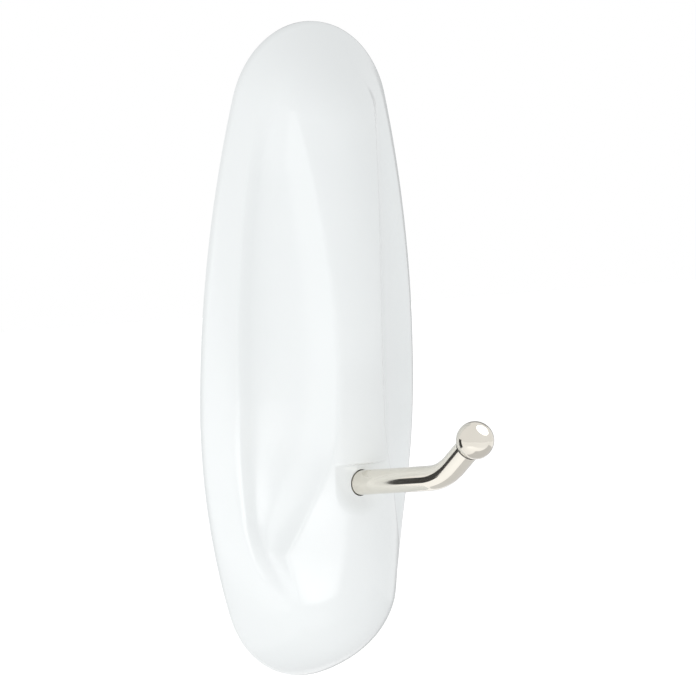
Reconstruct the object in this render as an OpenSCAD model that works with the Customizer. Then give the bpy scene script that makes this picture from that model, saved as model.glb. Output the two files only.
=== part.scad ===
// Adhesive wall hook: a sculpted white cover with a ball-ended wire peg,
// hung on a flat base plate that a stretch-release strip holds to the wall.
// Units are millimetres. The wall is the plane Y = 0, the front faces -Y,
// +Z is up and the part is symmetric about X = 0.

/* [Body] */
// Height of the cover
body_h = 80; // [77:0.5:84]
// Greatest width of the cover
body_w = 33.1; // [32:0.1:35]
// Radius of the rounded top end
top_r = 12.1; // [11.5:0.1:13]
// Radius of the rounded bottom end
bottom_r = 12.6; // [12:0.1:13.8]
// Rise of the crown above the rim
crown_h = 10.5; // [10.2:0.1:11.5]
// Height of the upright edge round the rim
edge_h = 0.6; // [0.4:0.1:1]
// Wall thickness of the cover
wall = 1.5; // [1.3:0.05:1.6]

/* [Finger scoops] */
// Width of the raised tongue at its waist
tongue_w = 6.9; // [6.5:0.1:7.5]
// Width of the rim left outside each scoop
rim_w = 3.1; // [2.8:0.1:3.4]
// Depth of the scoop floor below the rim crest
lip_h = 0.2; // [0.1:0.05:0.35]

/* [Peg] */
// Wire diameter
wire_d = 3; // [2.6:0.1:3.2]
// Ball diameter
ball_d = 4.5; // [4.2:0.1:5.5]
// Straight run of wire from the seat to the bend
peg_run = 12.7; // [10:0.1:15]
// Centre line radius of the bend
bend_r = 8.6; // [7:0.1:11]
// Straight run from the bend to the ball centre
tip_run = 4.8; // [4:0.1:6]
// Upward tilt of the wire where it leaves the cover, degrees
root_tilt = 8.3; // [6:0.1:10]
// Upward tilt of the wire at the ball, degrees
tip_tilt = 42; // [32:1:52]
// Depth of the flat seat the wire leaves from
seat_cut = 0.7; // [0.5:0.05:0.9]

/* [Strip] */
// Width of the adhesive strip
strip_w = 16; // [15:0.1:16.2]
// Length of the sticky part
sticky_len = 53; // [50:0.5:54]
// Length of the pull tab below it
tab_len = 10.5; // [9:0.5:11]
// Foam thickness
foam_t = 0.7; // [0.6:0.05:0.8]
// Thickness of each adhesive layer and of each tab film
glue_t = 0.1; // [0.08:0.01:0.14]

/* [Base plate] */
// Thickness of the base plate
base_t = 1.5; // [1.3:0.1:1.6]
// Width of the two hanging lugs
lug_w = 8; // [6:0.5:8]
// Sliding clearance round the lugs
slip = 0.25; // [0.2:0.05:0.3]

/* [Hidden] */
$fn = 96;

half_h = body_h / 2;
half_w = body_w / 2;
// Heights on the body keep their share of its height.
unit = body_h / 80;
widest_z = -5 * unit;
crown_z = -14 * unit;
waist_z = -1 * unit;
peg_z = -15.2 * unit;
ledge_z = -12.9 * unit;
mound_z = -18 * unit;

// Distances from the wall, front of each layer. The cover stands clear of the strip.
cover_gap = 0.2;
strip_t = foam_t + 2 * glue_t;
base_front = strip_t + base_t;
back_d = strip_t + cover_gap;
edge_d = back_d + edge_h;

// The outline has two end arcs and two side arcs tangent to them.
reach_up = half_h - widest_z;
reach_dn = half_h + widest_z;
function side_r(r, reach) =
    (half_w * half_w + reach * reach - 2 * r * reach) / (2 * (half_w - r));
side_up = side_r(top_r, reach_up);
side_dn = side_r(bottom_r, reach_dn);
top_c = half_h - top_r;
bottom_c = bottom_r - half_h;
fan_up = atan((top_c - widest_z) / (side_up - half_w));
fan_dn = atan((widest_z - bottom_c) / (side_dn - half_w));
function half_at(z) =
    let (r = z > widest_z ? side_up : side_dn)
    half_w - r + sqrt(r * r - pow(z - widest_z, 2));

// Each ray runs square to the outline from the centre line:
// [height of its foot, x part, z part, length].
n_end = 9;
n_up = 18;
n_dn = 18;
n_half = 2 * n_end + n_up + n_dn;
n_loop = 2 * n_half;
function end_ray(c, r, a) = [c, cos(a), sin(a), r];
function side_ray(r, b) =
    [widest_z + (r - half_w) * tan(b), cos(b), sin(b), r - (r - half_w) / cos(b)];
half_rays = concat(
    [for (i = [0 : n_end - 1]) end_ray(top_c, top_r, 90 - (90 - fan_up) * i / n_end)],
    [for (i = [0 : n_up - 1]) side_ray(side_up, fan_up * (1 - i / n_up))],
    [for (i = [0 : n_dn - 1]) side_ray(side_dn, -fan_dn * i / n_dn)],
    [for (i = [0 : n_end]) end_ray(bottom_c, bottom_r, -fan_dn - (90 - fan_dn) * i / n_end)]);
function ray(j) =
    j <= n_half ? half_rays[j]
                : let (r = half_rays[n_loop - j]) [r[0], -r[1], r[2], r[3]];

// Curvature of the crown along its length, above and below its top.
crown_up_r = 238 * unit;
crown_dn_r = 170 * unit;
// The rim narrows towards both ends, and its crest rolls over into the scoop floor.
rim_taper = 0.025;
lip_run = 1.3;
// The tongue: an hourglass that opens below the peg into the full lower mound.
waist_flare = 0.175;
mound_flare = 0.32;
flare_z = -11 * unit;
flare_blend = 2;
mound_run = 22 * unit;
mound_full = 1.8;
least_scoop = 1.2;
// The scoops run out towards both ends.
fade_top = 36 * unit;
fade_top_run = 15 * unit;
fade_bottom = -30 * unit;
fade_bottom_run = 10 * unit;
// Softness of the crease at the tongue.
crease = 0.35;
// The flat half-round seat of the peg hangs below a straight ledge.
seat_land = 2;
seat_r = wire_d + seat_land;

// Sculpted height of the face above the rim edge.
function ease(t) = let (c = min(1, max(0, t))) c * c * (3 - 2 * c);
function soft(c, k) = (c + sqrt(c * c + k * k)) / 2;
function crown(z) =
    crown_h - pow(z - crown_z, 2) / (2 * (z > crown_z ? crown_up_r : crown_dn_r));
function fullness(z) = 2 + mound_full * ease((mound_z - z) / mound_run);
function rim(z) = rim_w - rim_taper * abs(z - widest_z);
function floor_at(len, z) = len - rim(z) - lip_run;
// Half width of the tongue.
function tongue(z) =
    sqrt(pow(tongue_w / 2, 2) + pow(waist_flare * (z - waist_z), 2))
    + mound_flare * soft(flare_z - z, flare_blend);
function tongue_at(len, z) = min(tongue(z), floor_at(len, z) - least_scoop);
function dome(at, len, z) = crown(z) * (1 - pow(at / len, fullness(z)));
function scoop(at, len, z) =
    let (p = floor_at(len, z),
         b = tongue_at(len, z),
         low = dome(len - rim(z), len, z) - lip_h,
         high = dome(b, len, z),
         t = max(0, (p - at) / (p - b)))
    low + (high - low) * t * t;
function fade(z) =
    ease((fade_top - z) / fade_top_run) * ease((z - fade_bottom) / fade_bottom_run);
function face_h(at, len, z) =
    let (d = dome(at, len, z))
    d - fade(z) * soft(d - scoop(at, len, z), crease);
function face_at(r, at) = face_h(at, r[3], r[0] + r[2] * at);
// Height of the inside, one wall thickness under the face and under the peg's seat.
inside_step = 0.3;
least_inside = back_d + inside_step;
seat_blend = 2;
slope_run = 0.2;
function inside_at(r, at) =
    let (near = max(0, at - slope_run),
         slope = (face_at(r, at + slope_run) - face_at(r, near)) / (at + slope_run - near),
         off = norm([r[1] * at, r[0] + r[2] * at - ledge_z]),
         pad = seat_cut * ease(1 + (seat_r - off) / seat_blend))
    max(least_inside, edge_d + face_at(r, at) - pad - wall * sqrt(1 + slope * slope));

// Ring distances along a ray follow the tongue edge, scoop floor and crest.
function tongue_on(r) = tongue_at(r[3], r[0] + r[2] * tongue_w / 2);
function floor_on(r) = floor_at(r[3], r[0] + r[2] * (r[3] - rim_w - lip_run));
function crest_on(r) = r[3] - rim(r[0] + r[2] * (r[3] - rim_w));
function face_rings(r) =
    let (len = r[3], b = tongue_on(r), p = floor_on(r), crest = crest_on(r))
    concat([for (i = [1 : 4]) b * i / 4],
           [for (i = [1 : 6]) b + (p - b) * i / 6],
           [(p + crest) / 2, crest, crest + (len - crest) / 3, len - (len - crest) / 3, len]);
inside_lip = 0.8;
function inside_rings(r) =
    let (b = tongue_on(r), p = floor_on(r))
    concat([p + inside_lip], [for (i = [3 : -1 : 0]) b + (p - b) * i / 3], [b / 2]);

// Flat width of the rim's back.
back_land = 1.1 * wall;
function place(r, at, d) = [r[1] * at, -d, r[0] + r[2] * at];
function loop_points(r) =
    concat([for (at = face_rings(r)) place(r, at, edge_d + face_at(r, at))],
           [place(r, r[3], back_d), place(r, r[3] - back_land, back_d)],
           [for (at = inside_rings(r)) place(r, at, inside_at(r, at))]);
// Rays of one end all share the foot in the middle of that end.
n_spine = n_up + n_dn + 1;
function spine(j) =
    let (i = j <= n_half ? j : n_loop - j) min(n_spine - 1, max(0, i - n_end));
function wrap(j) = j % n_loop;

module cover_skin() {
    loops = [for (j = [0 : n_loop - 1]) loop_points(ray(j))];
    n_ring = len(loops[0]);
    feet = [for (i = [0 : n_spine - 1]) half_rays[i + n_end]];
    front = [for (r = feet) place(r, 0, edge_d + face_at(r, 0))];
    rear = [for (r = feet) place(r, 0, inside_at(r, 0))];
    base = 2 * n_spine;
    rings = [for (k = [0 : n_ring - 1]) for (j = [0 : n_loop - 1]) loops[j][k]];
    bands = [for (k = [0 : n_ring - 2]) for (j = [0 : n_loop - 1])
        let (a = base + k * n_loop + j,
             d = base + k * n_loop + wrap(j + 1))
        each [[a, a + n_loop, d + n_loop], [a, d + n_loop, d]]];
    first = [for (j = [0 : n_loop - 1])
        let (b = base + j, c = base + wrap(j + 1), s = spine(j), e = spine(wrap(j + 1)))
        each s == e ? [[s, b, c]] : [[s, b, c], [s, c, e]]];
    top = base + (n_ring - 1) * n_loop;
    last = [for (j = [0 : n_loop - 1])
        let (a = top + j, d = top + wrap(j + 1),
             s = n_spine + spine(j), e = n_spine + spine(wrap(j + 1)))
        each s == e ? [[a, s, d]] : [[a, s, e], [a, e, d]]];
    polyhedron(points = concat(front, rear, rings), faces = concat(first, bands, last));
}

// Peg frame: origin on the seat, +Z out along the wire, +Y nearly up.
seat_d = edge_d + crown(peg_z) - seat_cut;
cut_out = 3;
turn = tip_tilt - root_tilt;
// Behind the seat a boss guides the wire, and a square head stops it at the boss's end.
boss_wall = 1.4;
boss_r = wire_d / 2 + boss_wall;
boss_back = 4.8;
head_land = 1;
head_w = wire_d + 2 * head_land;
head_t = 1.2;
// A keeper plate on two staked pins closes the head in.
post_gap = 0.9;
pin_r = 1;
post_wall = 0.8;
post_r = pin_r + post_wall;
post_y = head_w / 2 + post_gap + post_r;
keep_w = 8;
keep_t = 1.2;
keep_edge = 2.2;
stake = 0.3;
// How far posts, pins and lugs start inside the piece they stand on.
root = 0.4;
overlap = 0.1;
module at_seat() {
    translate([0, -seat_d, peg_z]) rotate([90 - root_tilt, 0, 0]) children();
}
module at_tip() {
    at_seat()
        translate([0, bend_r * (1 - cos(turn)), peg_run + bend_r * sin(turn)])
            rotate([-turn, 0, 0]) children();
}
// The end of the wire is turned down a hair, so that it starts inside the bend.
tip_trim = 0.02;
tip_d = wire_d - tip_trim;
ball_bore = 1.8;

// Hanging bars in the cover and the lugs they drop behind.
bar_h = 2.2;
bar_t = 1.4;
bar_d = base_front + slip;
bar_front = bar_d + bar_t;
lug_z = [16 * unit, 0];
lug_t = 1.5;
lug_h = 2;
lug_rise = 2.5;
// The bars run out to the crest of the rim.
function bar_half(z) = half_at(z + bar_h) - rim(z + bar_h);

module seat_outline() {
    translate([0, ledge_z]) difference() {
        circle(r = seat_r);
        translate([-seat_r, 0]) square(2 * seat_r);
    }
}

module front_shell() {
    color("white") difference() {
        union() {
            cover_skin();
            for (z = lug_z)
                translate([-bar_half(z), -bar_front, z])
                    cube([2 * bar_half(z), bar_t, bar_h]);
            at_seat() {
                translate([0, 0, -boss_back])
                    cylinder(r = boss_r, h = boss_back - wall / 2);
                for (y = [-post_y, post_y]) translate([0, y, -boss_back - head_t]) {
                    cylinder(r = post_r, h = boss_back + head_t - root + y * tan(root_tilt));
                    translate([0, 0, -keep_t - stake])
                        cylinder(r = pin_r, h = keep_t + stake + overlap);
                }
            }
        }
        at_seat() translate([0, 0, -boss_back - overlap])
            cylinder(d = wire_d, h = boss_back + overlap + cut_out);
        translate([0, -seat_d, 0]) rotate([90, 0, 0]) linear_extrude(cut_out)
            seat_outline();
    }
}

module hook_rod() {
    color("silver") {
        at_seat() {
            translate([0, 0, -boss_back]) cylinder(d = wire_d, h = boss_back + peg_run);
            translate([-head_w / 2, -head_w / 2, -boss_back - head_t])
                cube([head_w, head_w, head_t]);
            translate([0, bend_r, peg_run]) rotate([0, -90, 0]) rotate([0, 0, -90])
                rotate_extrude(angle = turn) translate([bend_r, 0]) circle(d = wire_d);
        }
        at_tip() translate([0, 0, -root])
            cylinder(d = tip_d, h = root + tip_run - ball_d / 2 + ball_bore);
    }
}

module hook_ball() {
    color("gainsboro") at_tip() difference() {
        translate([0, 0, tip_run]) sphere(d = ball_d);
        translate([0, 0, tip_run - ball_d]) cylinder(d = tip_d, h = ball_d / 2 + ball_bore);
    }
}

module rod_retainer() {
    color("lightgray") at_seat() difference() {
        translate([-keep_w / 2, -post_y - keep_edge, -boss_back - head_t - keep_t])
            cube([keep_w, 2 * (post_y + keep_edge), keep_t]);
        for (y = [-post_y, post_y])
            translate([0, y, -boss_back - head_t - keep_t - overlap])
                cylinder(r = pin_r, h = keep_t + 2 * overlap);
    }
}

// Strip layers, from the wall outwards.
sticky_top = 26 * unit;
sticky_bottom = sticky_top - sticky_len;
corner_r = 6;
tab_inset = 1.6;
tab_half = strip_w / 2 - tab_inset;
plate_edge = 0.2;
module sticky_outline(grow = 0) {
    w = strip_w / 2 + grow;
    top = sticky_top + grow;
    r = corner_r + grow;
    for (x = [-w + r, w - r]) translate([x, top - r]) circle(r = r);
    translate([-w + r, top - 2 * r]) square([2 * (w - r), 2 * r]);
    translate([-w, sticky_bottom - grow]) square([2 * w, top - r - sticky_bottom + grow]);
}
// The tab hangs from the sticky part and ends in a half circle.
module tab_outline() {
    round_z = sticky_bottom - tab_len + tab_half;
    translate([0, round_z]) difference() {
        circle(r = tab_half);
        translate([-tab_half, 0]) square(2 * tab_half);
    }
    translate([-tab_half, round_z]) square([2 * tab_half, sticky_bottom - round_z]);
}
module layer(d, t) {
    translate([0, -d, 0]) rotate([90, 0, 0]) linear_extrude(t) children();
}

module base_plate() {
    color("ghostwhite") {
        layer(strip_t, base_t) sticky_outline(plate_edge);
        for (z = lug_z) translate([-lug_w / 2, 0, z]) rotate([90, 0, 90])
            linear_extrude(lug_w) mirror([1, 0]) {
                back = base_front - root;
                lip = bar_front + slip;
                translate([back, -lug_h]) square([lip + lug_t - back, lug_h]);
                translate([lip, -lug_h]) square([lug_t, lug_h + lug_rise]);
            }
    }
}

module foam_core() {
    color("whitesmoke") layer(glue_t, foam_t) {
        sticky_outline();
        tab_outline();
    }
}

module base_adhesive() {
    color("lightyellow") layer(glue_t + foam_t, glue_t) sticky_outline();
}

module wall_adhesive() {
    color("lightyellow") layer(0, glue_t) sticky_outline();
}

module tab_front_film() {
    color("lightblue") layer(glue_t + foam_t, glue_t) tab_outline();
}

module tab_back_film() {
    color("lightblue") layer(0, glue_t) tab_outline();
}

front_shell();
hook_rod();
hook_ball();
rod_retainer();
base_plate();
foam_core();
base_adhesive();
wall_adhesive();
tab_front_film();
tab_back_film();
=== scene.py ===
# %% [markdown]
# An adhesive wall hook, dressed in Blender.
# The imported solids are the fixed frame: they say where every piece sits and how it moves.
# Here each piece gets its finished surface: the glossy cover with its finger scoops, the
# bright wire peg with its ball, and the base plate and strip that hide behind them.
# The part's lengths are written in millimetres and turned into metres by MM. The stage
# round it is written in metres.

# %% Load the frame
import math

import bmesh
import bpy
import numpy as np
from mathutils import Matrix, Quaternion, Vector


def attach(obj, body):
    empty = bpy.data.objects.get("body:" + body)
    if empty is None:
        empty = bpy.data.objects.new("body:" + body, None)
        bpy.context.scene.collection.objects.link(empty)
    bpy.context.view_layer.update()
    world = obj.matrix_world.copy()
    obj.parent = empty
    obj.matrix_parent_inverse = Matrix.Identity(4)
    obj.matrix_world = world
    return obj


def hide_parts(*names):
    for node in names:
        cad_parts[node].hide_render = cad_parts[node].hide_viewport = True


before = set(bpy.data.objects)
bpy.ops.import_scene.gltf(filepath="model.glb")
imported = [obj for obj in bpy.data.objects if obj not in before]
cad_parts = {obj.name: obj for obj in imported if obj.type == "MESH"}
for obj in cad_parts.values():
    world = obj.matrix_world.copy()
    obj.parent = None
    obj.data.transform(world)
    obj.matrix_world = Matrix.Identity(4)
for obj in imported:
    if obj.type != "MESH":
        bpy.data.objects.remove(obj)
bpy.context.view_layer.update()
MM = 0.001
print("solids:", sorted(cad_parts))

# %% [markdown]
# The camera comes first, because every later choice is judged through it.
# It looks from the front left, a little above level, from far enough away that the
# upright edges hardly converge. One pixel of the picture covers PIXEL on the part.

# %% Camera
AZIMUTH = math.radians(-40)
ELEVATION = math.radians(6)
ROLL = math.radians(0.3)
DISTANCE = 600 * MM
PICTURE = 696
PIXEL = 0.1217 * MM
AIM_FRONT = 1.7 * MM
AIM_RIGHT = 38 * PIXEL
AIM_UP = 2.5 * PIXEL

back = Vector((math.sin(AZIMUTH) * math.cos(ELEVATION),
               -math.cos(AZIMUTH) * math.cos(ELEVATION),
               math.sin(ELEVATION)))
right = Vector((math.cos(AZIMUTH), math.sin(AZIMUTH), 0))
up = back.cross(right)
aim = Vector((0, -AIM_FRONT, 0)) + right * AIM_RIGHT + up * AIM_UP

bpy.ops.object.camera_add(location=aim + back * DISTANCE)
camera = bpy.context.object
camera.rotation_mode = "QUATERNION"
camera.rotation_quaternion = (-back).to_track_quat("-Z", "Y") @ Quaternion((0, 0, 1), ROLL)
camera.data.sensor_width = 36
camera.data.lens = camera.data.sensor_width * DISTANCE / (PICTURE * PIXEL)
camera.data.clip_start = 10 * MM
bpy.context.scene.camera = camera
print("lens:", round(camera.data.lens, 1), "mm")

# %% [markdown]
# Blender's operators act on whatever is selected, so small helpers keep that tidy:
# take one piece in hand, open it for editing, pick some of its corners, edges or faces
# by where they are, and close it again. Points closer than WELD are one point, points
# closer than NEAR count as level, and a direction counts as up or down when its share of
# height is over MOSTLY.

# %% Helpers for working by hand
WELD = 0.001
NEAR = 0.01
MOSTLY = 0.9
SMOOTH_ANGLE = math.radians(35)


def take(piece):
    if bpy.context.object and bpy.context.object.mode != "OBJECT":
        bpy.ops.object.mode_set(mode="OBJECT")
    bpy.ops.object.select_all(action="DESELECT")
    piece.select_set(True)
    bpy.context.view_layer.objects.active = piece


def open_up(piece, kind="VERT"):
    take(piece)
    bpy.ops.object.mode_set(mode="EDIT")
    bpy.ops.mesh.select_mode(type=kind)


def close_up():
    bpy.ops.object.mode_set(mode="OBJECT")


def pick(piece, kind, rule):
    mesh = bmesh.from_edit_mesh(piece.data)
    bpy.ops.mesh.select_mode(type=kind)
    bpy.ops.mesh.select_all(action="DESELECT")
    items = {"VERT": mesh.verts, "EDGE": mesh.edges, "FACE": mesh.faces}[kind]
    found = 0
    for item in items:
        if rule(item):
            item.select_set(True)
            found += 1
    mesh.select_flush_mode()
    bmesh.update_edit_mesh(piece.data)
    return found


def begin(name):
    piece = bpy.context.object
    piece.name = name
    piece.data.name = name
    return piece


def settle(piece):
    take(piece)
    bpy.ops.object.transform_apply(location=True, rotation=True, scale=True)


def tidy(piece):
    open_up(piece)
    bpy.ops.mesh.select_all(action="SELECT")
    bpy.ops.mesh.remove_doubles(threshold=WELD * MM)
    bpy.ops.mesh.normals_make_consistent(inside=False)
    close_up()
    bpy.ops.object.shade_smooth_by_angle(angle=SMOOTH_ANGLE)


def apply_modifier(piece, kind, **settings):
    take(piece)
    modifier = piece.modifiers.new(kind.lower(), kind)
    for key, value in settings.items():
        setattr(modifier, key, value)
    bpy.ops.object.modifier_apply(modifier=modifier.name)


def combine(piece, tool, operation):
    apply_modifier(piece, "BOOLEAN", object=tool, operation=operation, solver="MANIFOLD")
    bpy.data.objects.remove(tool)


# %% [markdown]
# The cover's face is a sculpted surface, and the same few rules describe it in the solids.
# A dome rises from the rim. On each side a finger scoop cuts into it and leaves a narrow
# rim outside and a tongue in the middle. The tongue is slim at its waist and opens below
# the peg into the full lower mound. Writing the height as a function of place lets the
# mesh be as fine as gloss needs. These are the sizes that drive it.

# %% Sizes of the cover
BODY_H = 80.0
BODY_W = 33.1
TOP_R = 12.1
BOTTOM_R = 12.6
CROWN_H = 10.5
WALL = 1.5
BACK_D = 1.1
EDGE_D = 1.7
WIDEST_Z = -5.0
HALF_H = BODY_H / 2
HALF_W = BODY_W / 2


def side_radius(end_radius, reach):
    return (HALF_W ** 2 + reach ** 2 - 2 * end_radius * reach) / (2 * (HALF_W - end_radius))


SIDE_UP = side_radius(TOP_R, HALF_H - WIDEST_Z)
SIDE_DOWN = side_radius(BOTTOM_R, HALF_H + WIDEST_Z)
TOP_C = HALF_H - TOP_R
BOTTOM_C = BOTTOM_R - HALF_H
FAN_UP = math.atan((TOP_C - WIDEST_Z) / (SIDE_UP - HALF_W))
FAN_DOWN = math.atan((WIDEST_Z - BOTTOM_C) / (SIDE_DOWN - HALF_W))
print("side arcs:", round(SIDE_UP, 1), round(SIDE_DOWN, 1), "mm")

# %% [markdown]
# A point of the face is given by how far along its ray it lies, the length of that ray
# and its height z. The crown is the height of the face along the centre line. Values that
# end in Z are heights on the part, and those that end in RUN say how far a change takes.
# Both scoops fade out towards the top and the bottom.

# %% Height of the sculpted face
CROWN_Z = -14.0
CROWN_UP_R = 238.0
CROWN_DOWN_R = 170.0
RIM_W = 3.1
RIM_TAPER = 0.025
LIP_RUN = 1.3
LIP_DROP = 0.2
WAIST = 3.45
WAIST_Z = -1.0
WAIST_FLARE = 0.175
FLARE_Z = -11.0
FLARE_BLEND = 2.0
MOUND_FLARE = 0.32
MOUND_Z = -18.0
MOUND_RUN = 22.0
MOUND_FULL = 1.8
LEAST_SCOOP = 1.2
FADE_TOP = 36.0
FADE_TOP_RUN = 15.0
FADE_BOTTOM = -30.0
FADE_BOTTOM_RUN = 10.0
CREASE = 0.35


def ease(t):
    c = np.clip(t, 0, 1)
    return c * c * (3 - 2 * c)


def soft(c, k):
    return (c + np.sqrt(c * c + k * k)) / 2


def crown(z):
    radius = np.where(z > CROWN_Z, CROWN_UP_R, CROWN_DOWN_R)
    return CROWN_H - (z - CROWN_Z) ** 2 / (2 * radius)


def rim(z):
    return RIM_W - RIM_TAPER * np.abs(z - WIDEST_Z)


def scoop_floor(length, z):
    return length - rim(z) - LIP_RUN


def tongue(length, z):
    waist = np.sqrt(WAIST ** 2 + (WAIST_FLARE * (z - WAIST_Z)) ** 2)
    mound = MOUND_FLARE * soft(FLARE_Z - z, FLARE_BLEND)
    return np.minimum(waist + mound, scoop_floor(length, z) - LEAST_SCOOP)


def dome(at, length, z):
    fullness = 2 + MOUND_FULL * ease((MOUND_Z - z) / MOUND_RUN)
    return crown(z) * (1 - (at / length) ** fullness)


def scoop(at, length, z):
    floor = scoop_floor(length, z)
    edge = tongue(length, z)
    low = dome(length - rim(z), length, z) - LIP_DROP
    high = dome(edge, length, z)
    t = np.maximum(0, (floor - at) / (floor - edge))
    return low + (high - low) * t * t


def face(at, length, z):
    shape = dome(at, length, z)
    fade = ease((FADE_TOP - z) / FADE_TOP_RUN) * ease((z - FADE_BOTTOM) / FADE_BOTTOM_RUN)
    return shape - fade * soft(shape - scoop(at, length, z), CREASE)


PEG_Z = -15.2
CROWN_AT_PEG = float(crown(np.float64(PEG_Z)))
print("crown at the peg:", round(CROWN_AT_PEG, 2), "mm above the rim")

# %% [markdown]
# The wire leaves the cover from a flat half-round seat under a straight ledge.
# On the moulding the ledge is slightly rounded and the lower edge runs out softly, so the
# seat is blended into the face over two bands instead of being cut with a sharp tool.

# %% The peg's seat
LEDGE_Z = -12.9
SEAT_R = 5.0
SEAT_CUT = 0.7
LEDGE_SOFT = 0.16
BOWL_SOFT = 1.3
SEAT_FACE = CROWN_AT_PEG - SEAT_CUT
SEAT_D = EDGE_D + SEAT_FACE


def seated(x, z, height):
    above = ease((z - LEDGE_Z + LEDGE_SOFT) / (2 * LEDGE_SOFT))
    beyond = ease((np.hypot(x, z - LEDGE_Z) - SEAT_R + BOWL_SOFT) / (2 * BOWL_SOFT))
    outside = np.maximum(above, beyond)
    lowered = np.minimum(height, SEAT_FACE)
    return lowered + (height - lowered) * outside


print("seat stands", round(SEAT_D, 2), "mm off the wall")

# %% [markdown]
# The face is laid out as rays that run square to the outline, from the centre line to the
# rim. At the two round ends the rays fan out from one point. Rays are packed closely
# beside the seat, where the surface turns fastest.

# %% Rays across the cover
def spread(first, last, step):
    count = max(1, round(abs(last - first) / step))
    return [first + (last - first) * i / count for i in range(count)]


def end_ray(centre, radius, angle):
    return (centre, math.cos(angle), math.sin(angle), radius)


def side_ray(foot):
    radius = SIDE_UP if foot > WIDEST_Z else SIDE_DOWN
    off = radius - HALF_W
    angle = math.atan((foot - WIDEST_Z) / off)
    return (foot, math.cos(angle), math.sin(angle), radius - off / math.cos(angle))


ROW_STEP = 0.35
CLOSE_STEP = 0.1
CLOSE_ABOVE = 1.2
CLOSE_BELOW = 0.6
SEAT_TOP = LEDGE_Z + CLOSE_ABOVE
SEAT_END = LEDGE_Z - SEAT_R - CLOSE_BELOW
FAN_STEP = math.radians(3.5)
QUARTER = math.pi / 2
feet = (spread(TOP_C, SEAT_TOP, ROW_STEP) + spread(SEAT_TOP, SEAT_END, CLOSE_STEP)
        + spread(SEAT_END, BOTTOM_C, ROW_STEP))
rays = ([end_ray(TOP_C, TOP_R, a) for a in spread(QUARTER, FAN_UP, FAN_STEP)]
        + [side_ray(f) for f in feet]
        + [end_ray(BOTTOM_C, BOTTOM_R, a) for a in spread(-FAN_DOWN, -QUARTER, FAN_STEP)]
        + [end_ray(BOTTOM_C, BOTTOM_R, -QUARTER)])
rays = np.array(rays)
print("rays from top to bottom:", len(rays))

# %% [markdown]
# A plain grid is added, one row for each ray, and its points are moved onto the sculpted
# face. Its columns follow the edge of the tongue and the floor of the scoop, so that these
# lines stay smooth. Where they cross a ray depends on the height there, so each is found
# from a first guess. The outermost columns roll over the rim and run down the upright edge.
# Rows fold onto themselves at the two ends, so doubles are merged afterwards.

# %% Outer skin of the cover
TONGUE_COLUMNS = 40
SCOOP_COLUMNS = 44
RIM_COLUMNS = 26
FACE_COLUMNS = TONGUE_COLUMNS + SCOOP_COLUMNS + RIM_COLUMNS
ROLL_COLUMNS = 5
EDGE_ROLL = 0.45
ROLL_DROP = 0.3
FIRST_GUESS = 4.0


def add_grid(name, columns):
    bpy.ops.object.select_all(action="DESELECT")
    bpy.ops.mesh.primitive_grid_add(x_subdivisions=2 * columns,
                                    y_subdivisions=len(rays) - 1, size=2)
    sheet = begin(name)
    points = np.zeros(len(sheet.data.vertices) * 3)
    sheet.data.vertices.foreach_get("co", points)
    points = points.reshape(-1, 3)
    row = np.rint((1 - points[:, 1]) / 2 * (len(rays) - 1)).astype(int)
    column = np.rint(points[:, 0] * columns).astype(int)
    return sheet, rays[row], column


def lay(sheet, ray, column, at, depth):
    x = np.sign(column) * ray[:, 1] * at
    z = ray[:, 0] + ray[:, 2] * at
    placed = np.stack([x, -depth, z], axis=1) * MM
    sheet.data.vertices.foreach_set("co", placed.ravel())
    sheet.data.update()


def face_depth(ray, at):
    z = ray[:, 0] + ray[:, 2] * at
    return EDGE_D + seated(ray[:, 1] * at, z, face(at, ray[:, 3], z))


def face_column(ray, step):
    foot, lean, length = ray[:, 0], ray[:, 2], ray[:, 3]
    edge = tongue(length, foot + lean * FIRST_GUESS)
    edge = tongue(length, foot + lean * edge)
    floor = scoop_floor(length, foot + lean * (length - FIRST_GUESS))
    stops = [np.zeros_like(edge), edge, floor, length - EDGE_ROLL]
    at = np.zeros_like(edge)
    first = 0
    for count, low, high in zip((TONGUE_COLUMNS, SCOOP_COLUMNS, RIM_COLUMNS), stops, stops[1:]):
        share = np.clip((step - first) / count, 0, 1)
        at = at + (high - low) * share
        first += count
    return at


cover, ray, column = add_grid("cover", FACE_COLUMNS + ROLL_COLUMNS + 1)
step = np.abs(column)
on_face = face_column(ray, step)
roll = np.clip((step - FACE_COLUMNS) / ROLL_COLUMNS, 0, 1)
stay = (1 - roll) ** 2
at = stay * on_face + (1 - stay) * ray[:, 3]
depth = (stay * face_depth(ray, on_face) + 2 * roll * (1 - roll) * EDGE_D
         + roll ** 2 * (EDGE_D - ROLL_DROP))
depth = np.where(step > FACE_COLUMNS + ROLL_COLUMNS, BACK_D, depth)
lay(cover, ray, column, at, depth)
print("outer skin:", len(cover.data.polygons), "faces")

# %% [markdown]
# The moulding is hollow, with an even wall. Its inside is a second, coarser grid that
# follows the face one wall thickness behind it, and behind the seat it stays as thick.
# The two skins are joined, and the flat back of the rim is bridged between them.

# %% Inner skin of the cover
INNER_COLUMNS = 24
BACK_LAND = 1.1 * WALL
SLOPE_RUN = 0.2
PAD_RUN = 2
INSIDE_STEP = 0.3
INSIDE_LIP = 0.8
MERGE = 0.0005


def plain_face(ray, at):
    return face(at, ray[:, 3], ray[:, 0] + ray[:, 2] * at)


def inside_depth(ray, at):
    near = np.maximum(0, at - SLOPE_RUN)
    far = at + SLOPE_RUN
    slope = (plain_face(ray, far) - plain_face(ray, near)) / (far - near)
    off = np.hypot(ray[:, 1] * at, ray[:, 0] + ray[:, 2] * at - LEDGE_Z)
    pad = SEAT_CUT * ease(1 + (SEAT_R - off) / PAD_RUN)
    skin = WALL * np.sqrt(1 + slope * slope)
    return np.maximum(BACK_D + INSIDE_STEP, EDGE_D + plain_face(ray, at) - pad - skin)


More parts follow.
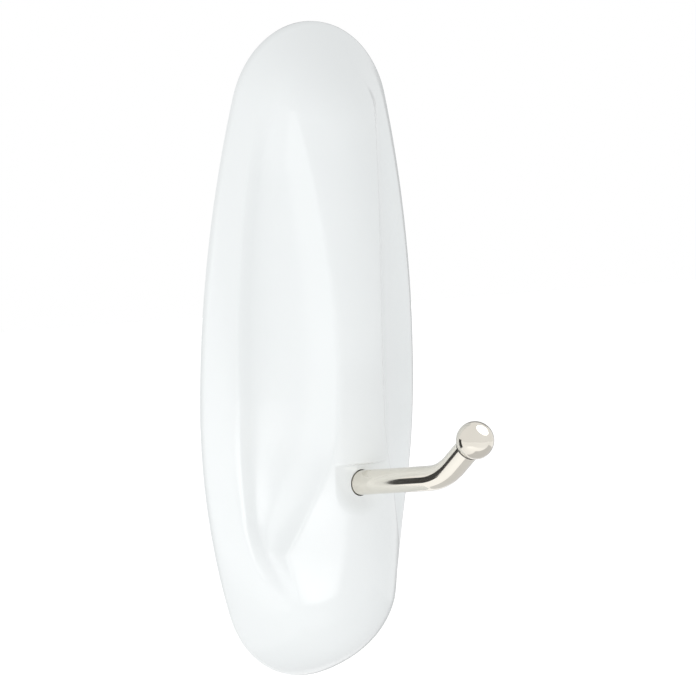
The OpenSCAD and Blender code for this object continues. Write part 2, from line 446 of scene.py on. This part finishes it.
inside, ray, column = add_grid("inside", INNER_COLUMNS + 1)
step = np.abs(column)
foot_z = ray[:, 0] + ray[:, 2] * (ray[:, 3] - RIM_W - LIP_RUN)
reach = scoop_floor(ray[:, 3], foot_z) + INSIDE_LIP
at = reach * np.minimum(step, INNER_COLUMNS) / INNER_COLUMNS
depth = inside_depth(ray, at)
at = np.where(step > INNER_COLUMNS, ray[:, 3] - BACK_LAND, at)
depth = np.where(step > INNER_COLUMNS, BACK_D, depth)
lay(inside, ray, column, at, depth)


def merge(piece):
    open_up(piece)
    bpy.ops.mesh.select_all(action="SELECT")
    bpy.ops.mesh.remove_doubles(threshold=MERGE * MM)
    bpy.ops.mesh.dissolve_degenerate(threshold=MERGE * MM)
    close_up()


merge(cover)
merge(inside)
open_up(inside)
bpy.ops.mesh.select_all(action="SELECT")
bpy.ops.mesh.flip_normals()
close_up()
take(cover)
inside.select_set(True)
bpy.ops.object.join()
open_up(cover, "EDGE")
bpy.ops.mesh.select_all(action="DESELECT")
bpy.ops.mesh.select_non_manifold()
bpy.ops.mesh.bridge_edge_loops()
bpy.ops.mesh.select_all(action="SELECT")
bpy.ops.mesh.normals_make_consistent(inside=False)
close_up()
mesh = bmesh.new()
mesh.from_mesh(cover.data)
print("open edges:", sum(not e.is_manifold for e in mesh.edges),
      "volume:", round(mesh.calc_volume() / MM ** 3, 1), "mm3")
mesh.free()

# %% [markdown]
# Behind the face the moulding carries what holds it together: two bars that hang in the
# base plate, a boss that guides the wire, and two posts with pins for the keeper plate.
# They are made from primitives in the peg's own frame or in the part's, and united with
# the cover, so that the cover stays one closed body.

# %% The peg's own frame
ROOT_TILT = math.radians(8.3)
TIP_TILT = math.radians(42)
TURN = TIP_TILT - ROOT_TILT
PEG_FRAME = (Matrix.Translation(Vector((0, -SEAT_D, PEG_Z)) * MM)
             @ Matrix.Rotation(math.pi / 2 - ROOT_TILT, 4, "X"))
WIRE_R = 1.5
BOSS_R = 2.9
BOSS_BACK = 4.8
HEAD_W = 5.0
HEAD_T = 1.2
POST_Y = 5.2
POST_R = 1.8
PIN_R = 1.0
KEEP_T = 1.2
STAKE = 0.3
DRUM_SIDES = 48
SOFTEN_ANGLE = math.radians(40)


def drum(name, radius, low, high, y=0.0):
    bpy.ops.object.select_all(action="DESELECT")
    bpy.ops.mesh.primitive_cylinder_add(vertices=DRUM_SIDES, radius=radius * MM,
                                        depth=(high - low) * MM,
                                        location=(0, y * MM, (low + high) / 2 * MM))
    piece = begin(name)
    settle(piece)
    return piece


def block(name, low, high):
    bpy.ops.object.select_all(action="DESELECT")
    bpy.ops.mesh.primitive_cube_add(size=1)
    piece = begin(name)
    piece.location = (Vector(low) + Vector(high)) / 2 * MM
    piece.scale = (Vector(high) - Vector(low)) * MM
    settle(piece)
    return piece


def soften(piece, width, segments=2):
    apply_modifier(piece, "BEVEL", width=width * MM, segments=segments,
                   limit_method="ANGLE", angle_limit=SOFTEN_ANGLE)


def on_peg(piece):
    piece.matrix_world = PEG_FRAME
    settle(piece)


# %% Bars, boss and posts inside the cover
BASE_FRONT = 2.4
SLIP = 0.25
BAR_T = 1.4
BAR_H = 2.2
LUG_Z = (16.0, 0.0)
BAR_BACK = BASE_FRONT + SLIP
BAR_FRONT = BAR_BACK + BAR_T
BAR_EDGE = 0.2
POST_SINK = 0.4
POST_EDGE = 0.12
HOLE_GAP = 0.1
HOLE_FRONT = 3
HOLE_BACK = BOSS_BACK + 0.5
COVER_SMOOTH = math.radians(42)


def half_width(z):
    radius = SIDE_UP if z > WIDEST_Z else SIDE_DOWN
    return HALF_W - radius + math.sqrt(radius ** 2 - (z - WIDEST_Z) ** 2)


fittings = []
for z in LUG_Z:
    reach = half_width(z + BAR_H) - float(rim(z + BAR_H))
    bar = block("bar", (-reach, -BAR_FRONT, z), (reach, -BAR_BACK, z + BAR_H))
    soften(bar, BAR_EDGE)
    fittings.append(bar)
boss = drum("boss", BOSS_R, -BOSS_BACK, -WALL / 2)
on_peg(boss)
fittings.append(boss)
for y in (-POST_Y, POST_Y):
    back_end = -BOSS_BACK - HEAD_T
    post = drum("post", POST_R, back_end, y * math.tan(ROOT_TILT) - POST_SINK, y)
    open_up(post, "FACE")
    pick(post, "FACE", lambda f: f.normal.z < -MOSTLY)
    bpy.ops.mesh.inset(thickness=(POST_R - PIN_R) * MM)
    bpy.ops.mesh.extrude_region_move(
        TRANSFORM_OT_translate={"value": (0, 0, -(KEEP_T + STAKE) * MM)})
    close_up()
    soften(post, POST_EDGE)
    on_peg(post)
    fittings.append(post)
take(fittings[0])
for piece in fittings[1:]:
    piece.select_set(True)
bpy.ops.object.join()
combine(cover, fittings[0], "UNION")
bore = drum("bore", WIRE_R + HOLE_GAP, -HOLE_BACK, HOLE_FRONT)
on_peg(bore)
combine(cover, bore, "DIFFERENCE")
take(cover)
bpy.ops.object.shade_smooth_by_angle(angle=COVER_SMOOTH)
print("cover:", len(cover.data.polygons), "faces")

# %% [markdown]
# The peg is one piece of bright plated wire. A ring the size of the wire is drawn out
# along the straight run, spun round the bend and drawn out again into the ball. Behind
# the boss its end is upset into a square head, which keeps it from turning or pulling out.

# %% The wire
PEG_RUN = 12.7
BEND_R = 8.6
TIP_RUN = 4.8
BALL_R = 2.25
BALL_BORE = 1.8
TIP_FIT = 0.01
TIP_R = WIRE_R - TIP_FIT
MOUTH = math.sqrt(BALL_R ** 2 - TIP_R ** 2)
SEAM = 0.16
TIP_PLAIN = TIP_RUN - MOUTH - SEAM
WIRE_SIDES = 72
BEND_STEPS = 28
TIP_DIR = Vector((0, math.sin(TURN), math.cos(TURN)))

bpy.ops.object.select_all(action="DESELECT")
bpy.ops.mesh.primitive_circle_add(vertices=WIRE_SIDES, radius=WIRE_R * MM,
                                  location=(0, 0, -BOSS_BACK * MM))
wire = begin("peg_wire")
settle(wire)
open_up(wire, "EDGE")
bpy.ops.mesh.select_all(action="SELECT")
bpy.ops.mesh.extrude_edges_move(
    TRANSFORM_OT_translate={"value": (0, 0, (BOSS_BACK + PEG_RUN) * MM)})
bpy.ops.mesh.spin(steps=BEND_STEPS, angle=TURN, axis=(1, 0, 0),
                  center=(0, BEND_R * MM, PEG_RUN * MM))
# The tip is drawn out in three runs, so that a narrow ring at the ball's mouth can carry the
# painted seam shade.
for run in (TIP_PLAIN, SEAM, MOUTH - BALL_R + BALL_BORE):
    bpy.ops.mesh.extrude_edges_move(TRANSFORM_OT_translate={"value": TIP_DIR * run * MM})
bpy.ops.mesh.select_all(action="DESELECT")
bpy.ops.mesh.select_non_manifold()
bpy.ops.mesh.edge_face_add()
close_up()
tip_end = max(v.co.y for v in wire.data.vertices) / MM
print("wire tip reaches", round(tip_end, 2), "mm above the straight run")

# %% The wire's square head
HEAD_SINK = 0.05
HEAD_EDGE = 0.15

head = block("head", (-HEAD_W / 2, -HEAD_W / 2, -BOSS_BACK - HEAD_T),
             (HEAD_W / 2, HEAD_W / 2, -BOSS_BACK + HEAD_SINK))
soften(head, HEAD_EDGE)
combine(wire, head, "UNION")
tidy(wire)
on_peg(wire)
print("wire:", len(wire.data.polygons), "faces")

# %% [markdown]
# The ball is turned, bored and pressed onto the wire. A sphere is cut flat where the bore
# opens, its rim is pushed inwards to make the bore, and the mouth gets a small chamfer.

# %% The ball
TIP_FRAME = (PEG_FRAME
             @ Matrix.Translation(Vector((0, BEND_R * (1 - math.cos(TURN)),
                                          PEG_RUN + BEND_R * math.sin(TURN))) * MM)
             @ Matrix.Rotation(-TURN, 4, "X"))
MOUTH_EDGE = 0.07
BALL_SIDES = 96
BALL_RINGS = 48

bpy.ops.object.select_all(action="DESELECT")
bpy.ops.mesh.primitive_uv_sphere_add(segments=BALL_SIDES, ring_count=BALL_RINGS,
                                     radius=BALL_R * MM)
ball = begin("peg_ball")
open_up(ball)
bpy.ops.mesh.select_all(action="SELECT")
bpy.ops.mesh.bisect(plane_co=(0, 0, -MOUTH * MM), plane_no=(0, 0, 1), clear_inner=True,
                    threshold=WELD * MM)
pick(ball, "EDGE", lambda e: e.is_boundary)
bpy.ops.mesh.extrude_edges_move(
    TRANSFORM_OT_translate={"value": (0, 0, (MOUTH - BALL_R + BALL_BORE) * MM)})
bpy.ops.mesh.edge_face_add()
pick(ball, "EDGE", lambda e: all(abs(v.co.z + MOUTH * MM) < WELD * MM for v in e.verts))
bpy.ops.mesh.bevel(offset=MOUTH_EDGE * MM, segments=1, affect="EDGES")
close_up()
ball.location = (0, 0, TIP_RUN * MM)
settle(ball)
ball.matrix_world = TIP_FRAME
settle(ball)
tidy(ball)
print("ball:", len(ball.data.polygons), "faces")

# %% [markdown]
# The keeper plate closes the wire's head into the cover. It is a small moulded plate with
# two holes for the pins, and its edges are broken all round.

# %% Keeper plate
KEEP_W = 8.0
KEEP_EDGE = 2.2
KEEP_CORNER = 1.2
KEEP_BREAK = 0.15
HOLE_PAST = 1

keep_front = -BOSS_BACK - HEAD_T
keeper = block("keeper_plate", (-KEEP_W / 2, -POST_Y - KEEP_EDGE, keep_front - KEEP_T),
               (KEEP_W / 2, POST_Y + KEEP_EDGE, keep_front))
open_up(keeper, "EDGE")
pick(keeper, "EDGE", lambda e: abs((e.verts[0].co - e.verts[1].co).normalized().z) > MOSTLY)
bpy.ops.mesh.bevel(offset=KEEP_CORNER * MM, segments=6, affect="EDGES")
close_up()
soften(keeper, KEEP_BREAK)
for y in (-POST_Y, POST_Y):
    hole = drum("hole", PIN_R, keep_front - KEEP_T - HOLE_PAST, keep_front + HOLE_PAST, y)
    combine(keeper, hole, "DIFFERENCE")
on_peg(keeper)
tidy(keeper)
print("keeper plate:", len(keeper.data.polygons), "faces")

# %% [markdown]
# The base plate stays on the wall. A flat sheet is cut to the strip's outline, its two
# upper corners are rounded, and it is drawn out to its thickness. Each lug starts as a
# block whose front half is drawn upwards, so that a bar can drop in behind it.

# %% Base plate
STRIP_T = 0.9
PLATE_HALF = 8.2
PLATE_TOP = 26.2
PLATE_BOTTOM = -27.2
PLATE_CORNER = 6.2
LUG_W = 8.0
LUG_T = 1.5
LUG_H = 2.0
LUG_RISE = 2.5
LUG_LIP = BAR_FRONT + SLIP
LUG_SINK = 0.4
LUG_EDGE = 0.25
PLATE_EDGE = 0.2
CORNER_STEPS = 20


def flat_sheet(name, half, bottom, top, y):
    bpy.ops.object.select_all(action="DESELECT")
    bpy.ops.mesh.primitive_plane_add(size=1, rotation=(math.pi / 2, 0, 0))
    sheet = begin(name)
    sheet.scale = (2 * half * MM, (top - bottom) * MM, 1)
    sheet.location = (0, -y * MM, (top + bottom) / 2 * MM)
    settle(sheet)
    return sheet


def round_corners(sheet, z, radius, segments):
    open_up(sheet)
    pick(sheet, "VERT", lambda v: abs(v.co.z - z * MM) < NEAR * MM)
    bpy.ops.mesh.bevel(offset=radius * MM, segments=segments, affect="VERTICES")
    close_up()


def thicken(sheet, thickness):
    open_up(sheet, "FACE")
    bpy.ops.mesh.select_all(action="SELECT")
    bpy.ops.mesh.extrude_region_move(
        TRANSFORM_OT_translate={"value": (0, -thickness * MM, 0)})
    bpy.ops.mesh.select_all(action="SELECT")
    bpy.ops.mesh.normals_make_consistent(inside=False)
    close_up()


plate = flat_sheet("base", PLATE_HALF, PLATE_BOTTOM, PLATE_TOP, STRIP_T)
round_corners(plate, PLATE_TOP, PLATE_CORNER, CORNER_STEPS)
thicken(plate, BASE_FRONT - STRIP_T)
soften(plate, PLATE_EDGE)
for z in LUG_Z:
    lug = block("lug", (-LUG_W / 2, -LUG_LIP - LUG_T, z - LUG_H),
                (LUG_W / 2, -BASE_FRONT + LUG_SINK, z))
    open_up(lug)
    bpy.ops.mesh.select_all(action="SELECT")
    bpy.ops.mesh.bisect(plane_co=(0, -LUG_LIP * MM, 0), plane_no=(0, 1, 0))
    pick(lug, "FACE", lambda f: f.normal.z > MOSTLY
         and f.calc_center_median().y < -LUG_LIP * MM)
    bpy.ops.mesh.extrude_region_move(
        TRANSFORM_OT_translate={"value": (0, 0, LUG_RISE * MM)})
    close_up()
    soften(lug, LUG_EDGE, 3)
    combine(plate, lug, "UNION")
tidy(plate)
print("base plate:", len(plate.data.polygons), "faces")

# %% [markdown]
# The strip's foam is one soft sheet: the sticky part behind the base plate, and below it
# the narrower pull tab with its round end. The outline is cut from a plane, the tab is
# drawn out of its lower edge, and the sheet is given its thickness.

# %% Strip foam
STRIP_HALF = 8.0
STICKY_TOP = 26.0
STICKY_BOTTOM = -27.0
STRIP_CORNER = 6.0
TAB_HALF = 6.4
TAB_LEN = 10.5
GLUE_T = 0.1
FOAM_T = 0.7
FOAM_EDGE = 0.06
TAB_STEPS = 28

foam = flat_sheet("foam", STRIP_HALF, STICKY_BOTTOM, STICKY_TOP, GLUE_T)
round_corners(foam, STICKY_TOP, STRIP_CORNER, CORNER_STEPS)
open_up(foam)
for side in (-1, 1):
    bpy.ops.mesh.select_all(action="SELECT")
    bpy.ops.mesh.bisect(plane_co=(side * TAB_HALF * MM, 0, 0), plane_no=(1, 0, 0))
pick(foam, "EDGE", lambda e: e.is_boundary and all(
    abs(v.co.z - STICKY_BOTTOM * MM) < NEAR * MM and abs(v.co.x) < (TAB_HALF + NEAR) * MM
    for v in e.verts))
bpy.ops.mesh.extrude_edges_move(
    TRANSFORM_OT_translate={"value": (0, 0, -TAB_LEN * MM)})
close_up()
round_corners(foam, STICKY_BOTTOM - TAB_LEN, TAB_HALF - NEAR, TAB_STEPS)
thicken(foam, FOAM_T)
soften(foam, FOAM_EDGE)
tidy(foam)
print("foam:", len(foam.data.polygons), "faces")

# %% [markdown]
# Finishes. Each pattern is read in Object coordinates, so it stays fixed to the piece.
# The real surfaces are almost plain, so what they need is small: a slight drift of colour,
# gloss that is not quite even, and a very fine unevenness that breaks up reflections.
# Noise lies mostly between NOISE_LOW and NOISE_HIGH, and the drifts run over that span.

# %% Helpers for finishes
NOISE_LOW = 0.3
NOISE_HIGH = 0.7


def new_finish(name, **sockets):
    finish = bpy.data.materials.new(name)
    finish.use_nodes = True
    shader = finish.node_tree.nodes["Principled BSDF"]
    for socket, value in sockets.items():
        shader.inputs[socket.replace("_", " ")].default_value = value
    return finish


def noise(finish, scale, detail=3.0, stretch=(1, 1, 1)):
    nodes = finish.node_tree.nodes
    links = finish.node_tree.links
    place = nodes.new("ShaderNodeTexCoord")
    mapping = nodes.new("ShaderNodeMapping")
    mapping.inputs["Scale"].default_value = stretch
    texture = nodes.new("ShaderNodeTexNoise")
    texture.inputs["Scale"].default_value = scale
    texture.inputs["Detail"].default_value = detail
    links.new(place.outputs["Object"], mapping.inputs["Vector"])
    links.new(mapping.outputs["Vector"], texture.inputs["Vector"])
    return texture


def drift_colour(finish, texture, first, second):
    tree = finish.node_tree
    ramp = tree.nodes.new("ShaderNodeValToRGB")
    ramp.color_ramp.elements[0].position = NOISE_LOW
    ramp.color_ramp.elements[0].color = (*first, 1)
    ramp.color_ramp.elements[1].position = NOISE_HIGH
    ramp.color_ramp.elements[1].color = (*second, 1)
    tree.links.new(texture.outputs["Fac"], ramp.inputs["Fac"])
    tree.links.new(ramp.outputs["Color"], tree.nodes["Principled BSDF"].inputs["Base Color"])


def drift_gloss(finish, texture, low, high):
    tree = finish.node_tree
    span = tree.nodes.new("ShaderNodeMapRange")
    span.inputs["From Min"].default_value = NOISE_LOW
    span.inputs["From Max"].default_value = NOISE_HIGH
    span.inputs["To Min"].default_value = low
    span.inputs["To Max"].default_value = high
    tree.links.new(texture.outputs["Fac"], span.inputs["Value"])
    tree.links.new(span.outputs["Result"], tree.nodes["Principled BSDF"].inputs["Roughness"])


def roughen(finish, texture, height, strength):
    tree = finish.node_tree
    bump = tree.nodes.new("ShaderNodeBump")
    bump.inputs["Strength"].default_value = strength
    bump.inputs["Distance"].default_value = height * MM
    tree.links.new(texture.outputs[0], bump.inputs["Height"])
    tree.links.new(bump.outputs["Normal"], tree.nodes["Principled BSDF"].inputs["Normal"])


def wear(piece, finish):
    piece.data.materials.clear()
    piece.data.materials.append(finish)


# %% [markdown]
# The cover is glossy white plastic with a trace of cool blue. The mould leaves it smooth,
# with a very fine unevenness that breaks up its reflections.

# %% Cover plastic
gloss_white = new_finish("gloss_white_plastic", IOR=1.49)
drift_colour(gloss_white, noise(gloss_white, 60), (0.830, 0.858, 0.862), (0.850, 0.876, 0.880))
drift_gloss(gloss_white, noise(gloss_white, 140), 0.17, 0.22)
roughen(gloss_white, noise(gloss_white, 900, 2.0), 0.004, 0.15)
wear(cover, gloss_white)
print("finish:", gloss_white.name)

# %% [markdown]
# The peg is plated with warm bright nickel. Fine draw lines run along the wire, and the
# ball shows faint polishing marks, so the reflections are clear but not perfect. A fine
# ring of the wire at the ball's mouth is painted near-black: painted shade for the
# shadow that falls in the seam between wire and ball.

# %% Plated metal
def plated(name, stretch, dark, light):
    finish = new_finish(name, Metallic=1.0)
    drift_colour(finish, noise(finish, 220), dark, light)
    drift_gloss(finish, noise(finish, 700, 4.0, stretch), 0.07, 0.13)
    roughen(finish, noise(finish, 1500, 3.0, stretch), 0.002, 0.1)
    return finish


wear(wire, plated("plated_wire", (1, 0.08, 0.3), (0.79, 0.755, 0.68), (0.82, 0.785, 0.71)))
wear(ball, plated("plated_ball", (1, 1, 1), (0.70, 0.665, 0.595), (0.74, 0.705, 0.635)))


def in_shaded_seam(patch):
    heights = [(TIP_FRAME.inverted() @ v.co).z / MM for v in patch.verts]
    return TIP_PLAIN - NEAR < min(heights) and max(heights) < TIP_PLAIN + SEAM + NEAR


# The ring is painted near-black as painted shade, standing in for the shadow in the seam where
# wire meets ball.
wire.data.materials.append(new_finish("painted_seam_shade", Base_Color=(0.10, 0.095, 0.09, 1)))
open_up(wire)
print("seam faces:", pick(wire, "FACE", in_shaded_seam))
wire.active_material_index = 1
bpy.ops.object.material_slot_assign()
close_up()
print("finish: plated wire and ball")

# %% [markdown]
# The base plate and the keeper are plain satin mouldings, a little greyer than the cover.

# %% Satin plastic
satin_white = new_finish("satin_white_plastic", IOR=1.47)
drift_colour(satin_white, noise(satin_white, 80), (0.78, 0.79, 0.78), (0.82, 0.83, 0.82))
drift_gloss(satin_white, noise(satin_white, 300), 0.42, 0.52)
roughen(satin_white, noise(satin_white, 2600, 4.0), 0.01, 0.35)
wear(plate, satin_white)
wear(keeper, satin_white)
print("finish:", satin_white.name)

# %% [markdown]
# The strip has three finishes: closed-cell foam with fine pores, a tacky coat on both
# faces, and a smooth film round the tab that keeps fingers off the glue.

# %% Strip finishes
foam_finish = new_finish("strip_foam", IOR=1.4)
pores = foam_finish.node_tree.nodes.new("ShaderNodeTexVoronoi")
pores.inputs["Scale"].default_value = 3200
place = foam_finish.node_tree.nodes.new("ShaderNodeTexCoord")
foam_finish.node_tree.links.new(place.outputs["Object"], pores.inputs["Vector"])
drift_colour(foam_finish, noise(foam_finish, 500), (0.74, 0.74, 0.72), (0.82, 0.82, 0.80))
drift_gloss(foam_finish, noise(foam_finish, 400), 0.8, 0.95)
roughen(foam_finish, pores, 0.05, 0.5)
wear(foam, foam_finish)

glue_finish = new_finish("strip_glue", IOR=1.47)
drift_colour(glue_finish, noise(glue_finish, 150), (0.80, 0.79, 0.74), (0.86, 0.85, 0.81))
drift_gloss(glue_finish, noise(glue_finish, 350), 0.22, 0.42)
roughen(glue_finish, noise(glue_finish, 700, 4.0), 0.03, 0.4)
film_finish = new_finish("tab_film", IOR=1.5)
drift_colour(film_finish, noise(film_finish, 120), (0.80, 0.83, 0.85), (0.84, 0.87, 0.89))
drift_gloss(film_finish, noise(film_finish, 260), 0.16, 0.26)
roughen(film_finish, noise(film_finish, 500, 2.0), 0.01, 0.2)
for name in ("base_adhesive", "wall_adhesive"):
    wear(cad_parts[name], glue_finish)
for name in ("tab_front_film", "tab_back_film"):
    wear(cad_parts[name], film_finish)
print("finishes: foam, glue, film")

# %% [markdown]
# Every new piece rides on a body of the frame and stands for the solid it was made from,
# which is hidden.

# %% Tie the pieces to the frame
for piece, body, node, slot in (
        (cover, "cover", "front_shell", "cover_plastic"),
        (wire, "cover", "hook_rod", "peg_metal"),
        (ball, "cover", "hook_ball", "peg_metal"),
        (keeper, "cover", "rod_retainer", "base_plastic"),
        (plate, "wall_base", "base_plate", "base_plastic"),
        (foam, "wall_base", "foam_core", "strip_foam")):
    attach(piece, body)
    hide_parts(node)
    print(piece.name, "stands for", node)

# %% [markdown]
# The stage is a white room. The camera, and anything shiny, sees its white walls, and the
# same walls give soft light from all round. A pale floor lies well below the part. It is
# lifted to white in the same way, and it still takes the part's shadow.

# %% Floor and surround
FLOOR_Z = -0.5
FLOOR_SIZE = 8
FLOOR_LIFT = 0.4
WALL_LIGHT = 0.775


def seen_directly(tree):
    path = tree.nodes.new("ShaderNodeLightPath")
    mirrored = tree.nodes.new("ShaderNodeMath")
    mirrored.operation = "MAXIMUM"
    seen = tree.nodes.new("ShaderNodeMath")
    seen.operation = "MAXIMUM"
    tree.links.new(path.outputs["Is Glossy Ray"], mirrored.inputs[0])
    tree.links.new(path.outputs["Is Transmission Ray"], mirrored.inputs[1])
    tree.links.new(path.outputs["Is Camera Ray"], seen.inputs[0])
    tree.links.new(mirrored.outputs["Value"], seen.inputs[1])
    return seen.outputs["Value"]


bpy.ops.object.select_all(action="DESELECT")
bpy.ops.mesh.primitive_plane_add(size=FLOOR_SIZE, location=(0, 0, FLOOR_Z))
floor = begin("floor")
floor_finish = new_finish("pale_floor", Base_Color=(0.92, 0.92, 0.92, 1), Roughness=0.9)
tree = floor_finish.node_tree
glow = tree.nodes.new("ShaderNodeEmission")
lift = tree.nodes.new("ShaderNodeMath")
lift.operation = "MULTIPLY"
lift.inputs[1].default_value = FLOOR_LIFT
tree.links.new(seen_directly(tree), lift.inputs[0])
tree.links.new(lift.outputs["Value"], glow.inputs["Strength"])
lifted = tree.nodes.new("ShaderNodeAddShader")
tree.links.new(tree.nodes["Principled BSDF"].outputs["BSDF"], lifted.inputs[0])
tree.links.new(glow.outputs["Emission"], lifted.inputs[1])
tree.links.new(lifted.outputs["Shader"], tree.nodes["Material Output"].inputs["Surface"])
wear(floor, floor_finish)

studio = bpy.data.worlds.new("studio")
bpy.context.scene.world = studio
studio.use_nodes = True
tree = studio.node_tree
walls = tree.nodes["Background"]
walls.inputs["Color"].default_value = (1, 1, 1, 1)
walls.inputs["Strength"].default_value = WALL_LIGHT
white = tree.nodes.new("ShaderNodeBackground")
white.inputs["Color"].default_value = (1, 1, 1, 1)
choose = tree.nodes.new("ShaderNodeMixShader")
tree.links.new(seen_directly(tree), choose.inputs["Fac"])
tree.links.new(walls.outputs["Background"], choose.inputs[1])
tree.links.new(white.outputs["Background"], choose.inputs[2])
tree.links.new(choose.outputs["Shader"], tree.nodes["World Output"].inputs["Surface"])
print("white room, floor", FLOOR_Z, "m down")

# %% [markdown]
# Three softboxes with round outlines shape the light. The tall one at the left brightens
# every surface that turns that way, and a wide low one in front puts the bright patch on
# the lower mound. One high at the right is kept for the metal and gives the ball its
# highlight. Three cards are seen only in reflections: a dark one behind on the left draws
# the dark line along the bend, a grey one behind on the right draws the fine line along
# the edges that turn away, and a pale one below shades the lower end of the cover and the
# underside of the wire's tip.

# %% Softboxes and cards
def towards(azimuth, elevation, distance):
    a = math.radians(azimuth)
    e = math.radians(elevation)
    return Vector((math.sin(a) * math.cos(e), -math.cos(a) * math.cos(e),
                   math.sin(e))) * distance


def facing(place):
    return (-place).to_track_quat("-Z", "Y")


def softbox(name, place, size, power, lit):
    bpy.ops.object.select_all(action="DESELECT")
    bpy.ops.object.light_add(type="AREA", location=place)
    lamp = bpy.context.object
    lamp.name = name
    lamp.data.shape = "ELLIPSE"
    lamp.data.size = size[0]
    lamp.data.size_y = size[1]
    lamp.data.energy = power
    lamp.rotation_mode = "QUATERNION"
    lamp.rotation_quaternion = facing(place)
    lamp.light_linking.receiver_collection = lit


def shade_card(name, place, size, shade):
    bpy.ops.object.select_all(action="DESELECT")
    bpy.ops.mesh.primitive_plane_add(size=1, location=place)
    card = begin(name)
    card.scale = (*size, 1)
    card.rotation_mode = "QUATERNION"
    card.rotation_quaternion = facing(place)
    wear(card, new_finish(name, Base_Color=(shade, shade, shade, 1), Roughness=0.9))
    card.visible_camera = False
    card.visible_diffuse = False
    card.visible_shadow = False


mouldings = bpy.data.collections.new("mouldings")
metal = bpy.data.collections.new("metal")
for piece in (cover, plate, keeper, foam, floor):
    mouldings.objects.link(piece)
for piece in (wire, ball):
    metal.objects.link(piece)
for name in ("base_adhesive", "wall_adhesive", "tab_front_film", "tab_back_film"):
    mouldings.objects.link(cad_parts[name])
softbox("left_softbox", towards(-72, -14, 0.9), (0.6, 0.9), 1.5, mouldings)
softbox("low_softbox", towards(-17, -15.5, 0.8), (1.0, 0.2), 1.3, mouldings)
softbox("high_softbox", towards(49, 53, 0.8), (0.9, 0.9), 5.0, metal)
shade_card("bend_card", towards(-147, -17, 0.3), (0.21, 0.19), 0.06)
shade_card("back_card", towards(143, 4, 1.0), (1.2, 1.2), 0.5)
shade_card("under_card", towards(80, -62, 0.35), (0.5, 0.6), 0.95)
print("softboxes: 3, cards: 3")

# %% View transform
bpy.context.scene.view_settings.view_transform = "Standard"
